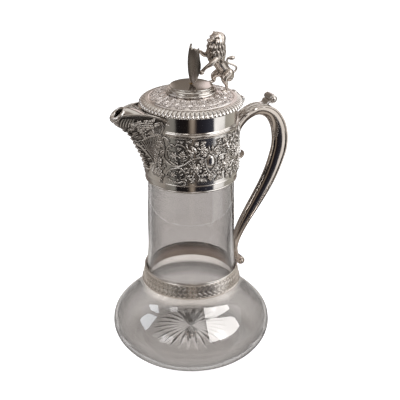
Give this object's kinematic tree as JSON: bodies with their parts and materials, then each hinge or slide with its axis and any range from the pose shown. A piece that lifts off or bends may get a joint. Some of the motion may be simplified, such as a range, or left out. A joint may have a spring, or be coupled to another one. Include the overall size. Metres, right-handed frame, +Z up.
{
  "type": "claret jug",
  "caption": "Glass claret jug with a silver-plated collar, beak spout and C-scroll handle, and a hinged gadrooned lid with a lion and shield finial.",
  "frame": {"origin": "on the jug's axis, at the height of the surface it stands on", "axes": "+Z up along the jug's axis, +X towards the handle, -X towards the spout"},
  "size_m": [0.1727, 0.1504, 0.3045],
  "materials": {
    "clear_glass": "clear blown glass, faintly grey",
    "silver_plate": "polished silver plate",
    "chased_silver": "chased silver plate, darkened in the recesses",
    "cast_silver": "cast and plated, darkened in the recesses",
    "plaster": "plaster bedding, matt",
    "brass_fixing": "turned brass, unplated",
    "steel_pin": "drawn wire"
  },
  "bodies": {
    "jug": {"glass_body": "clear_glass", "collar_bedding": "plaster", "neck_band_bedding": "plaster", "collar_sleeve": "silver_plate", "collar_foot_wire": "silver_plate", "frieze_band": "chased_silver", "collar_mid_wire": "silver_plate", "glass_rim_ledge": "silver_plate", "spout_body": "chased_silver", "spout_hood": "silver_plate", "neck_band": "chased_silver", "neck_band_wire": "silver_plate", "handle": "silver_plate", "thumb_scroll": "chased_silver", "hinge_bracket": "silver_plate", "hinge_pin": "steel_pin"},
    "lid": {"gadroon_border": "silver_plate", "lid_plate": "chased_silver", "dome_wire": "silver_plate", "lid_dome": "silver_plate", "lid_bezel": "silver_plate", "hinge_leaf": "silver_plate", "lion": "cast_silver", "shield": "silver_plate", "finial_stud": "brass_fixing", "finial_washer": "brass_fixing", "finial_nut": "brass_fixing"}
  },
  "joints": [
    {"name": "lid_hinge", "type": "hinge", "parent": "jug", "child": "lid", "pos_m": [0.04885, 0, 0.2416], "axis": [0, 1, 0], "range_deg": [0, 90]}
  ]
}
